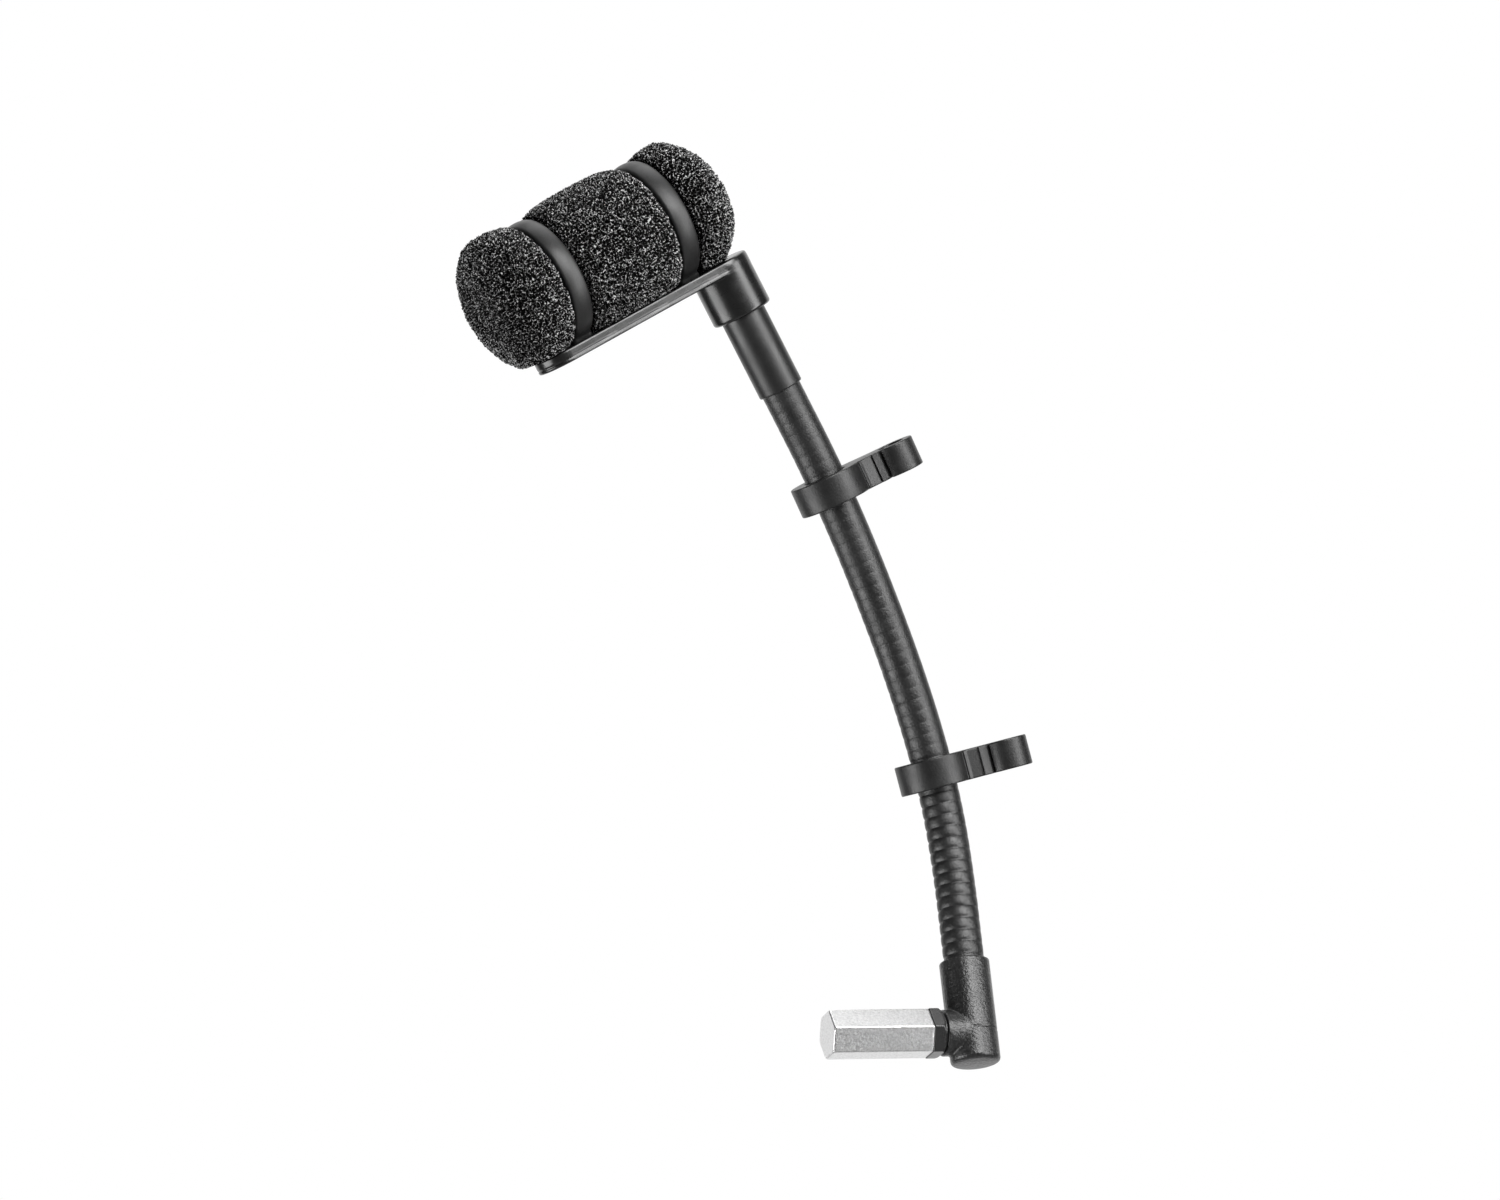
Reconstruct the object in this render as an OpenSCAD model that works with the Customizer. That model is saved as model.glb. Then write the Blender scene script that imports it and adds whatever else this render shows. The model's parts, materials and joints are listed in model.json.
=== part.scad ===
// Short gooseneck instrument microphone with a foam shock mount.
// A hexagonal spigot carries an elbow, a flexible ribbed neck with two cable clips,
// and a turning carrier whose two hoops hold a foam barrel with a small condenser microphone inside.
// Units are millimetres. The origin is the centre of the spigot's end face.
// +X runs along the spigot towards the elbow, and +Z runs up the elbow into the neck.

/* [Spigot and elbow] */
// Distance across the flats of the hexagonal spigot
hex_af = 7; // [6.5:0.1:7.4]
// Length of the bare aluminium hexagon
hex_l = 16.7; // [12:0.1:20]
// Length of the black hexagonal collar behind it
hex_collar_l = 2; // [1.5:0.1:2.5]
// Outer diameter of the elbow's upright barrel
elbow_d = 8; // [7.8:0.1:9]
// Outer diameter of the elbow's side branch
branch_d = 7.4; // [7:0.1:7.6]
// Distance from the collar's shoulder to the barrel's axis
branch_l = 5.6; // [5:0.1:7]
// Height of the elbow's mouth above the spigot's axis
mouth_z = 11.7; // [11:0.1:14]
// Depth of the elbow's underside below the spigot's axis
elbow_drop = 5.3; // [5:0.1:6]

/* [Neck] */
// Outer diameter of the neck's sheath
neck_d = 6.5; // [6.4:0.05:6.5]
// Distance from one coil turn to the next
ring_pitch = 1.94; // [1.94:0.01:1.96]
// Distance from the elbow's mouth to the first bending point
first_link_l = 14.4; // [14:0.1:15]
// Distance from the last bending point to the sleeve
last_link_l = 12.96; // [12.5:0.1:14]
// Direction of the neck's two lowest bends, measured from -X towards -Y in the link below
low_lean = 44; // [0:0.1:60]
// Direction of the bends above them, measured the same way
high_lean = 9.1; // [0:0.1:60]
// Bend of the neck at each bending point, from the elbow up
link_bends = [6.4, 12.9, 3.7, 3, 1.8, 2.8, 3]; // [0:0.1:13]

/* [Sleeve and carrier] */
// Outer diameter of the sleeve at the neck's upper end
sleeve_d = 7.35; // [7.2:0.05:7.4]
// Length of sleeve seen between the neck and the carrier
sleeve_l = 13.4; // [12:0.1:16]
// Outer diameter of the carrier's socket
socket_d = 9.9; // [9.6:0.1:10.4]
// Height of the carrier's socket, with the plate on top of it
socket_h = 9.1; // [8.5:0.1:9.5]
// Turn of the carrier on the sleeve
carrier_turn = 4.7; // [-20:0.1:20]
// Thickness of the carrier plate
plate_t = 2.1; // [1.9:0.1:2.5]
// Width of the carrier plate
plate_w = 8.9; // [8.6:0.1:9.2]
// Distance from the socket's axis to the plate's tip
plate_reach = 36; // [34:0.1:38]
// Distance from the socket's axis to the rear hoop
rear_hoop_x = 6.9; // [6.5:0.1:8]
// Distance from the socket's axis to the front hoop
front_hoop_x = 28.2; // [27:0.1:29]
// Outer radius of the hoops
hoop_r = 10.5; // [10.2:0.1:10.8]
// Width of the hoops
hoop_w = 3.4; // [3:0.1:3.6]
// Thickness of the hoops
hoop_t = 1.8; // [1.6:0.1:2]

/* [Foam and microphone] */
// Radius of the foam's front lobe
front_lobe_r = 11.6; // [11:0.1:12.4]
// Radius of the foam between the hoops
middle_lobe_r = 11.7; // [11:0.1:12.2]
// Radius of the foam's rear lobe
rear_lobe_r = 11.4; // [10.8:0.1:12]
// Length of foam in front of the front hoop
front_lobe_l = 12.6; // [12:0.1:14]
// Length of foam behind the rear hoop
rear_lobe_l = 10.6; // [10:0.1:12]
// Outer diameter of the microphone
mic_d = 12; // [12:0.1:12.2]
// Length of the microphone
mic_l = 38; // [37:0.5:39]

/* [Cable clips] */
// Distance along the neck from the elbow's mouth to the lower clip
lower_clip_s = 31.2; // [29.5:0.1:33]
// Distance along the neck from the elbow's mouth to the upper clip
upper_clip_s = 79.4; // [76.5:0.1:80]
// Turn of the lower clip on the neck
lower_clip_turn = -26; // [-180:1:180]
// Turn of the upper clip on the neck
upper_clip_turn = -13; // [-180:1:180]
// Height of a clip along the neck
clip_h = 4.8; // [4:0.1:5]
// Outer radius of the clip's ring
clip_ring_r = 5.9; // [5.6:0.1:6.2]
// Distance from the neck's axis to the middle of the cable hook
hook_x = 12; // [11.9:0.1:12.2]
// Radius of the cable hook's inside
hook_bore_r = 2.2; // [2.1:0.05:2.25]
// Outer radius of the cable hook
hook_r = 3.6; // [3.5:0.05:3.7]

/* [Hidden] */
$fn = 64;
eps = 0.01;
LINKS = 8;
rings_per_link = 6;
link_l = ring_pitch * rings_per_link;
neck_r = neck_d / 2;
corner_r = hex_af / sqrt(3);
elbow_x = hex_l + hex_collar_l + branch_l;

// Coil: each turn is a ring of round wire, joined by a thin tube
wire_r = 0.93;
coil_r = 1.8;
coil_bore_r = coil_r - wire_r;
web_t = 1;
sheath_bore_r = 2.8;

// Ball and cup between links
cup_gap = 0.1;
cup_r = neck_r + cup_gap;
coil_cup_r = cup_r + 0.02;

// Neck ends
neck_bore_r = neck_r + 0.05;
neck_in_elbow = 5.5;
neck_in_sleeve = 6;
ferrule_t = 1;
ferrule_pin_l = 5;
fit_gap = 0.05;

// Cable clips
hook_y = 1.4;
clip_gap = 0.07;

// Spigot
shank_r = 2;
shank_l = 4;
groove_w = 0.4;
groove_r = 3.2;
hex_chamfer = 0.5;

// Sleeve, socket and carrier
socket_bore_r = sleeve_d / 2 + 0.05;
socket_depth = 5.6;
o_ring_r = 0.5;
o_ring_up = 2.4;
screw_hole_r = 1.05;
screw_r = 1;
screw_head_r = 1.9;
screw_head_t = 0.9;
screw_grip = 3;
foam_axis_z = socket_h + hoop_r;
foot_w = 4.2;
foot_h = 1.6;
tenon_r = 0.8;
tenon_l = 1.2;
tenon_y = 2.6;

// Foam: a lobe's radius rises steeply beside a hoop and closes more roundly at the barrel's two ends
foam_front_x = front_hoop_x + front_lobe_l;
foam_rear_x = rear_hoop_x - rear_lobe_l;
foam_groove_r = hoop_r - hoop_t - 0.1;
foam_front_end_r = 4.7;
foam_rear_end_r = 7.8;
lobe_rise = 0.15;
front_round = [2, 0.7];
rear_round = [1.3, 0.9];
foam_gap = 0.1;
foam_bore_r = mic_d / 2 + 0.05;

// Microphone, measured forwards along the foam's axis from its rear face
mic_rear_x = foam_rear_x - 0.3;
mic_r = mic_d / 2;
mic_wall = 0.8;
rear_cap_l = 4;
cap_plug_l = 2;
seal_wire_r = 0.42;
face_gap = 0.02;
grille_l = 5;
housing_l = mic_l - rear_cap_l - grille_l;
mic_bore_r = mic_r - mic_wall;
gland_r = 1.3;
capsule_r = 4.9;
capsule_l = 5.5;
capsule_x = rear_cap_l + housing_l - capsule_l;
can_t = 0.3;
capsule_bore_r = capsule_r - can_t;
stack_r = capsule_bore_r - fit_gap;
film_x = capsule_x + capsule_l - can_t - 0.9;
board_w = 8;
board_l = 15;
board_t = 0.8;
board_x = 8;

// ---------- places ----------

// Direction of bend n, from 1 at the elbow, and the axis that it bends about
function lean(n) = n <= 2 ? low_lean : high_lean;
function bend_axis(n) = [sin(lean(n)), -cos(lean(n)), 0];

// Origin at bending point n, +Z along link n + 1. Place 0 is the elbow's mouth.
module link_place(n) {
    if (n == 0)
        translate([elbow_x, 0, mouth_z]) children();
    else
        link_place(n - 1)
            translate([0, 0, n == 1 ? first_link_l : link_l])
                rotate(link_bends[n - 1], bend_axis(n)) children();
}

// Origin on the neck's axis, s along the neck from the elbow's mouth, inside link n + 1
module neck_place(n, s) {
    link_place(n)
        translate([0, 0, s - (n == 0 ? 0 : first_link_l + (n - 1) * link_l)]) children();
}

// Origin at the sleeve's lower end
module sleeve_place() {
    link_place(LINKS - 1) translate([0, 0, last_link_l]) children();
}

// Origin at the socket's underside, +X towards the microphone's front
module carrier_place() {
    sleeve_place() translate([0, 0, sleeve_l]) rotate(180 + carrier_turn) children();
}

// Origin at the microphone's rear face, +Z along the microphone towards its front
module mic_place(x = 0) {
    carrier_place() translate([mic_rear_x + x, 0, foam_axis_z]) rotate([0, 90, 0]) children();
}

// ---------- shared shapes ----------

module tube(r, bore, h) {
    difference() {
        cylinder(r = r, h = h);
        translate([0, 0, -1]) cylinder(r = bore, h = h + 2);
    }
}

module torus(r, wire) {
    rotate_extrude() translate([r, 0]) circle(r = wire);
}

// A hexagonal bar along +X with its flats facing up and down
module hex_bar(l) {
    rotate([90, 0, 90]) cylinder(r = corner_r, h = l, $fn = 6);
}

// ---------- spigot and elbow ----------

module hex_spigot() color("silver") {
    intersection() {
        hex_bar(hex_l);
        rotate([0, 90, 0]) union() {
            cylinder(r1 = corner_r - hex_chamfer, r2 = corner_r + eps, h = hex_chamfer + eps);
            translate([0, 0, hex_chamfer]) cylinder(r = corner_r + eps, h = hex_l);
        }
    }
    translate([hex_l - eps, 0, 0]) rotate([0, 90, 0]) cylinder(r = shank_r, h = hex_collar_l + shank_l);
}

module hex_collar() color("#1b1b1c") {
    difference() {
        translate([hex_l, 0, 0]) hex_bar(hex_collar_l);
        translate([hex_l - 1, 0, 0]) rotate([0, 90, 0]) cylinder(r = shank_r + fit_gap, h = hex_collar_l + 2);
    }
}

// Half outline of the barrel: gently domed underside, rounded edge, chamfered mouth
module barrel_outline() {
    edge_r = 1.1;
    dome = 0.3;
    r = elbow_d / 2;
    polygon(concat(
        [[0, -elbow_drop], [r * 0.4, -elbow_drop + dome * 0.3]],
        [for (a = [-80:16:0])
            [r - edge_r + edge_r * cos(a), -elbow_drop + dome + edge_r + edge_r * sin(a)]],
        [[r, mouth_z - 0.25], [r - 0.25, mouth_z], [0, mouth_z]]
    ));
}

module elbow_body() color("#1b1b1c") {
    shoulder_x = hex_l + hex_collar_l;
    difference() {
        union() {
            translate([elbow_x, 0, 0]) rotate_extrude() barrel_outline();
            translate([shoulder_x, 0, 0]) rotate([0, 90, 0]) cylinder(r = groove_r, h = branch_l);
            translate([shoulder_x + groove_w, 0, 0]) rotate([0, 90, 0])
                cylinder(d = branch_d, h = branch_l - groove_w);
        }
        translate([elbow_x, 0, mouth_z - neck_in_elbow - ferrule_t]) cylinder(r = neck_bore_r, h = 20);
        translate([shoulder_x - 1, 0, 0]) rotate([0, 90, 0]) cylinder(r = shank_r + fit_gap, h = shank_l + 1.2);
    }
}

module lower_ferrule() color("#8c8c8a") {
    link_place(0) translate([0, 0, -neck_in_elbow - ferrule_t]) {
        cylinder(r = neck_r, h = ferrule_t - fit_gap);
        cylinder(r = coil_bore_r - fit_gap, h = ferrule_t + ferrule_pin_l);
    }
}

// ---------- neck ----------

function link_top(n) = n == 0 ? first_link_l : n == LINKS - 1 ? last_link_l + neck_in_sleeve : link_l;

// Sheath of link n + 1: a ball at its lower bending point, a cup round the next one
module neck_sheath(n) color("#161617") {
    bottom = n == 0 ? -neck_in_elbow : 0;
    link_place(n) difference() {
        union() {
            translate([0, 0, bottom]) cylinder(r = neck_r, h = link_top(n) - bottom);
            if (n > 0) sphere(r = neck_r);
        }
        translate([0, 0, -neck_in_elbow - 1]) cylinder(r = sheath_bore_r, h = link_top(n) + neck_in_elbow + 2);
        if (n < LINKS - 1) translate([0, 0, link_top(n)]) sphere(r = cup_r);
    }
}

// Coil of link n + 1. Past link 1, its lowest turn is a ball that rocks in the link below.
module neck_coil(n) color("#777775") {
    turns = n == 0 ? 8 : n == LINKS - 1 ? 10 : rings_per_link;
    start = n == 0 ? first_link_l - (turns + 0.5) * ring_pitch : -ring_pitch / 2;
    web_l = (turns - 1) * ring_pitch;
    link_place(n) difference() {
        union() {
            for (i = [0:turns - 1]) translate([0, 0, start + i * ring_pitch]) torus(coil_r, wire_r);
            translate([0, 0, start]) tube(coil_r + web_t / 2, coil_r - web_t / 2, web_l);
        }
        if (n < LINKS - 1) translate([0, 0, link_top(n)]) sphere(r = coil_cup_r);
    }
}

module upper_ferrule() color("#8c8c8a") {
    sleeve_place() translate([0, 0, neck_in_sleeve]) {
        translate([0, 0, fit_gap]) cylinder(r = neck_r, h = ferrule_t);
        translate([0, 0, -ferrule_pin_l]) cylinder(r = coil_bore_r - fit_gap, h = ferrule_pin_l + ferrule_t);
    }
}

// ---------- cable clips ----------

// Flat outline of a clip: a ring for the neck, a web with a raised lip on its -Y side, and a hook for the cable.
// +X runs from the neck to the hook. The cable snaps in through the narrow mouth between the lip and the hook.
module clip_outline() {
    bevel = [5.6, -2.5];
    land = [[5.95, -2.2], [7.9, -1.55]];
    lip = [[8, -1.95], [9.3, -1.2]];
    mouth_w = 0.4;
    mouth_reach = [1.5, 1.55];
    outside_y = -3;
    back_y = hook_y + hook_r;
    mouth = lip[1] + [mouth_w, -0.15];
    difference() {
        union() {
            circle(r = clip_ring_r);
            translate([hook_x, hook_y]) circle(r = hook_r);
            polygon([[0, 0], bevel, land[0], land[1], lip[0], lip[1], [hook_x, hook_y], [hook_x, back_y - 0.1],
                     [lip[0][0], back_y - 0.5], [2.6, clip_ring_r - 0.65], [0, 4]]);
        }
        circle(r = neck_r + clip_gap);
        translate([hook_x, hook_y]) circle(r = hook_bore_r);
        polygon([[lip[1][0], outside_y], lip[1], lip[1] + mouth_reach, mouth + mouth_reach, mouth,
                 [mouth[0], outside_y]]);
    }
}

module cable_clip() color("#1b1b1c") {
    translate([0, 0, -clip_h / 2]) linear_extrude(clip_h) clip_outline();
}

module lower_clip() {
    neck_place(2, lower_clip_s) rotate(lower_clip_turn) cable_clip();
}

module upper_clip() {
    neck_place(6, upper_clip_s) rotate(upper_clip_turn) cable_clip();
}

// ---------- sleeve and swivel ----------

module neck_sleeve() color("#1b1b1c") {
    top = sleeve_l + socket_depth - fit_gap;
    edge = 0.3;
    r = sleeve_d / 2;
    sleeve_place() difference() {
        rotate_extrude() polygon([[0, 0], [r - edge, 0], [r, edge], [r, top], [0, top]]);
        translate([0, 0, -1]) cylinder(r = neck_bore_r, h = neck_in_sleeve + ferrule_t + 1.2);
        translate([0, 0, top - screw_grip - 0.5]) cylinder(r = screw_r + fit_gap, h = screw_grip + 2);
        translate([0, 0, sleeve_l + o_ring_up]) torus(r, o_ring_r + 0.02);
    }
}

module friction_ring() color("#101010") {
    sleeve_place() translate([0, 0, sleeve_l + o_ring_up]) intersection() {
        torus(sleeve_d / 2, o_ring_r);
        cylinder(r = socket_bore_r - 0.02, h = 3, center = true);
    }
}

module swivel_screw() color("#8c8c8a") {
    head_z = socket_h - screw_head_t - 0.1;
    foot_z = socket_depth - screw_grip;
    carrier_place() {
        translate([0, 0, head_z]) cylinder(r = screw_head_r, h = screw_head_t);
        translate([0, 0, foot_z]) cylinder(r = screw_r, h = head_z - foot_z + eps);
    }
}

// ---------- carrier ----------

module carrier_plate() color("#1b1b1c") {
    carrier_place() difference() {
        union() {
            rotate_extrude() polygon([[0, 0], [socket_d / 2 - 0.6, 0], [socket_d / 2 - 0.18, 0.18],
                                      [socket_d / 2, 0.6], [socket_d / 2, socket_h], [0, socket_h]]);
            translate([0, 0, socket_h - plate_t]) linear_extrude(plate_t) union() {
                translate([0, -plate_w / 2]) square([plate_reach - plate_w / 2, plate_w]);
                translate([plate_reach - plate_w / 2, 0]) circle(d = plate_w);
            }
        }
        translate([0, 0, -1]) cylinder(r = socket_bore_r, h = socket_depth + 1);
        cylinder(r = screw_hole_r, h = socket_h + 1);
        translate([0, 0, socket_h - screw_head_t - 0.15]) cylinder(r = screw_head_r + 0.1, h = 2);
        for (x = [rear_hoop_x, front_hoop_x], y = [-tenon_y, tenon_y])
            translate([x, y, socket_h - tenon_l - 0.05]) cylinder(r = tenon_r + fit_gap, h = 3);
    }
}

// A hoop stands on the plate: a ring of half-round section with a foot and two tenons
module hoop(x) color("#1b1b1c") {
    inner_r = hoop_r - hoop_t;
    crown = 0.55;
    middle = hoop_w * 0.15;
    shoulder = hoop_w * 0.38;
    edge = hoop_w / 2;
    carrier_place() translate([x, 0, socket_h]) {
        translate([0, 0, hoop_r]) rotate([0, 90, 0]) rotate_extrude()
            polygon([[inner_r, -edge], [hoop_r - crown, -edge], [hoop_r - crown * 0.3, -shoulder], [hoop_r, -middle],
                     [hoop_r, middle], [hoop_r - crown * 0.3, shoulder], [hoop_r - crown, edge], [inner_r, edge]]);
        difference() {
            translate([-foot_w / 2, -plate_w / 2, 0.02]) cube([foot_w, plate_w, foot_h]);
            translate([0, 0, hoop_r]) rotate([0, 90, 0]) cylinder(r = inner_r, h = 10, center = true);
        }
        for (y = [-tenon_y, tenon_y]) translate([0, y, -tenon_l]) cylinder(r = tenon_r, h = tenon_l + 0.5);
    }
}

module rear_hoop() {
    hoop(rear_hoop_x);
}

module front_hoop() {
    hoop(front_hoop_x);
}

// ---------- foam ----------

// Radius of a lobe at t, from 0 at one hoop to 1 at the other
function lobe(r, t) = foam_groove_r + (r - foam_groove_r) * pow(sin(180 * t), lobe_rise);

// Radius of an end lobe at t, from 0 at its hoop to 1 at the barrel's end
function end_lobe(r, end_r, round, t) =
    t < 0.5 ? lobe(r, t) : end_r + (r - end_r) * pow(max(0, 1 - pow(2 * t - 1, round[0])), round[1]);

// Points from 0 to 1 that lie close together at both ends
function closer(i, steps) = (1 - cos(180 * i / steps)) / 2;

module foam_outline() {
    half_w = hoop_w / 2 + foam_gap;
    steps = 12;
    rear_to = rear_hoop_x - half_w;
    rear_l = rear_to - foam_rear_x;
    mid_from = rear_hoop_x + half_w;
    mid_l = front_hoop_x - half_w - mid_from;
    front_from = front_hoop_x + half_w;
    front_l = foam_front_x - front_from;
    polygon(concat(
        [[0, foam_rear_x]],
        [for (i = [0:steps]) let (t = closer(i, steps))
            [end_lobe(rear_lobe_r, foam_rear_end_r, rear_round, 1 - t), foam_rear_x + rear_l * t]],
        [for (i = [0:steps]) let (t = closer(i, steps))
            [lobe(middle_lobe_r, t), mid_from + mid_l * t]],
        [for (i = [0:steps]) let (t = closer(i, steps))
            [end_lobe(front_lobe_r, foam_front_end_r, front_round, t), front_from + front_l * t]],
        [[0, foam_front_x]]
    ));
}

module foam_barrel() color("#0c0c0c") {
    below = 20;
    carrier_place() difference() {
        translate([0, 0, foam_axis_z]) rotate([0, 90, 0]) rotate_extrude() foam_outline();
        translate([foam_rear_x - 1, 0, foam_axis_z]) rotate([0, 90, 0])
            cylinder(r = foam_bore_r, h = mic_l + 0.8);
        translate([-below, -below, socket_h + foam_gap - below]) cube([3 * below, 2 * below, below]);
        for (x = [rear_hoop_x, front_hoop_x])
            translate([x - foot_w / 2 - foam_gap, -plate_w / 2 - foam_gap, 0])
                cube([foot_w + 2 * foam_gap, plate_w + 2 * foam_gap, socket_h + foot_h + foam_gap]);
    }
}

// ---------- microphone ----------

module mic_housing() color("#202020") {
    mic_place(rear_cap_l) tube(mic_r, mic_bore_r, housing_l);
}

module mic_grille() color("#2a2a2a") {
    slot_w = 0.9;
    slot_l = 6;
    slot_pitch = 1.5;
    front_wall = 1;
    mic_place(rear_cap_l + housing_l + face_gap) difference() {
        cylinder(r = mic_r, h = grille_l - face_gap);
        translate([0, 0, -front_wall]) cylinder(r = mic_bore_r, h = grille_l);
        for (i = [-2:2])
            translate([-slot_l / 2, i * slot_pitch - slot_w / 2, grille_l - 2 * front_wall])
                cube([slot_l, slot_w, 4]);
    }
}

module grille_mesh() color("#6f6f6f") {
    mesh_t = 0.3;
    mic_place(rear_cap_l + housing_l + grille_l - 1.05 - mesh_t) cylinder(r = mic_bore_r - fit_gap, h = mesh_t);
}

module mic_rear_cap() color("#202020") {
    mic_place() difference() {
        union() {
            cylinder(r = mic_r, h = rear_cap_l - face_gap);
            cylinder(r = mic_bore_r - fit_gap, h = rear_cap_l + cap_plug_l);
        }
        translate([0, 0, -1]) cylinder(r = gland_r, h = rear_cap_l + cap_plug_l + 2);
        translate([0, 0, rear_cap_l + cap_plug_l / 2]) torus(mic_bore_r - fit_gap, seal_wire_r + 0.03);
    }
}

module rear_seal() color("#101010") {
    mic_place(rear_cap_l + cap_plug_l / 2) intersection() {
        torus(mic_bore_r - fit_gap, seal_wire_r);
        cylinder(r = mic_bore_r - face_gap, h = 3, center = true);
    }
}

module capsule_can() color("#b0a070") {
    middle_hole_r = 1.2;
    hole_r = 0.5;
    hole_circle_r = 3;
    mic_place(capsule_x) difference() {
        cylinder(r = capsule_r, h = capsule_l);
        translate([0, 0, -1]) cylinder(r = capsule_bore_r, h = capsule_l + 1 - can_t);
        translate([0, 0, capsule_l - 1]) {
            cylinder(r = middle_hole_r, h = 2);
            for (a = [0:60:300]) rotate(a) translate([hole_circle_r, 0, 0]) cylinder(r = hole_r, h = 2);
        }
    }
}

module diaphragm_ring() color("#c8b060") {
    mic_place(film_x + 0.1) tube(stack_r, 3.9, 0.75);
}

module diaphragm() color("#d8c060") {
    mic_place(film_x) cylinder(r = stack_r, h = 0.08);
}

module spacer_ring() color("#e8e4d8") {
    mic_place(film_x - 0.22) tube(stack_r, 4, 0.2);
}

module backplate() color("#b8b8b4") {
    hole_r = 0.4;
    hole_circle_r = 2.2;
    mic_place(film_x - 1.25) difference() {
        cylinder(r = capsule_bore_r - 0.4, h = 1);
        for (a = [0:60:300]) rotate(a) translate([hole_circle_r, 0, -1]) cylinder(r = hole_r, h = 3);
    }
}

module capsule_insulator() color("#e8e4d8") {
    mic_place(capsule_x + can_t) tube(stack_r, 2.4, 2.6);
}

module circuit_board() color("#1f6b3a") {
    mic_place(board_x) translate([-board_t / 2, -board_w / 2, 0]) cube([board_t, board_w, board_l]);
}

module fet_chip() color("#181818") {
    chip = [1.1, 3, 2.6];
    mic_place(board_x + 9) translate([board_t / 2 + eps, -chip[1] / 2, 0]) cube(chip);
}

module signal_pins() color("#c8a850") {
    pin_r = 0.28;
    pin_pitch = 2;
    for (i = [-1:1])
        mic_place(board_x + 1) translate([board_t / 2 + pin_r + face_gap, i * pin_pitch, 0])
            cylinder(r = pin_r, h = 3);
}

// ---------- nodes ----------

hex_spigot();
hex_collar();
elbow_body();
lower_ferrule();
for (i = [1:LINKS]) {
    neck_sheath(i - 1);
    neck_coil(i - 1);
}
lower_clip();
upper_clip();
upper_ferrule();
neck_sleeve();
friction_ring();
swivel_screw();
carrier_plate();
rear_hoop();
front_hoop();
foam_barrel();
mic_housing();
mic_grille();
grille_mesh();
mic_rear_cap();
rear_seal();
capsule_can();
diaphragm_ring();
diaphragm();
spacer_ring();
backplate();
capsule_insulator();
circuit_board();
fet_chip();
signal_pins();
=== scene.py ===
"""Looks of a short gooseneck instrument microphone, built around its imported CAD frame.

Lengths are written in millimetres and turned into metres by MM where a mesh is made.
Moulded parts are distance fields turned into closed meshes; turned parts are lathed outlines.
"""
import json
import math

import bpy
import numpy as np
from mathutils import Matrix, Vector


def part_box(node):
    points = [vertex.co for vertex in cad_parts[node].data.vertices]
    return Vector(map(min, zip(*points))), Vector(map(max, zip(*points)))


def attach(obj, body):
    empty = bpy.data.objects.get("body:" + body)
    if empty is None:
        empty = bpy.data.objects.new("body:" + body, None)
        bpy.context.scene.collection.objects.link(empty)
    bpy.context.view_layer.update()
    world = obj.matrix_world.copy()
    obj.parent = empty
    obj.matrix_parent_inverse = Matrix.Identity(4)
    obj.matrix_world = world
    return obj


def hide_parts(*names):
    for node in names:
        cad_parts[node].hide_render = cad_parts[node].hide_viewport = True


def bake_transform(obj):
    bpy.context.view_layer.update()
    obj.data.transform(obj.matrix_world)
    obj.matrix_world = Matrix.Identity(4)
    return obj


MM = 0.001
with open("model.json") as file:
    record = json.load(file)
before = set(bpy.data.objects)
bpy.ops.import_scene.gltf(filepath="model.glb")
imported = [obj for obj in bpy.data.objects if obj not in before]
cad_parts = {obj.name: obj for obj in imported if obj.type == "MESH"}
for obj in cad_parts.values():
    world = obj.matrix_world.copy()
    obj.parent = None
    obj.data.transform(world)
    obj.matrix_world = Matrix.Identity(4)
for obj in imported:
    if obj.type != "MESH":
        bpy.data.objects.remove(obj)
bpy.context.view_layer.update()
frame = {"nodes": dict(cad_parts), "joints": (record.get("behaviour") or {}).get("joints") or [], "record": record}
joints = {j["name"]: j for j in frame["joints"]}
mounts = {m["name"]: m for m in frame["record"]["mounts"]}

# ---------- sizes, in millimetres ----------

# The neck.
BENDS = 7
LINK_L = 11.64
RIB_PITCH = 1.94
BOLD_RIBS_L, RIB_FADE_L = 35, 6
LEAST_RIB, BOLD_RIB, SLACK_RIB = 0.015, 0.085, 0.09
RIB_SHARPNESS = 1.8
NECK_R = 3.25
SKIN_BORE_R = 3.0
NECK_IN_ELBOW = 5.4
NECK_IN_SLEEVE = 5.4
NECK_GAP = 0.06

# The spigot, its collar and the elbow.
HEX_FLAT_R = 3.5
COLLAR_FLAT_R = 3.58
COLLAR_L = 2.0
BRANCH_R = 3.7
BRANCH_GROOVE_W = 0.4
BRANCH_GROOVE_R = 3.2
SHANK_R = 2.05
SHANK_L = 4.2
BARREL_R = 4.0

# The sleeve, the carrier and its hoops.
SLEEVE_R = 3.675
SLEEVE_L = 13.4
SOCKET_R = 4.95
SOCKET_H = 9.1
SOCKET_DEPTH = 5.6
SCREW_HOLE_R = 1.05
SCREW_HEAD_R = 2.0
SCREW_HEAD_H = 1.05
PLATE_T = 2.1
PLATE_TIP_R = 4.45
PLATE_REACH = 36.0
HOOP_R = 10.5
HOOP_T = 1.8
HOOP_W = 3.4
REAR_HOOP_X = 6.9
FRONT_HOOP_X = 28.2

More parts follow.
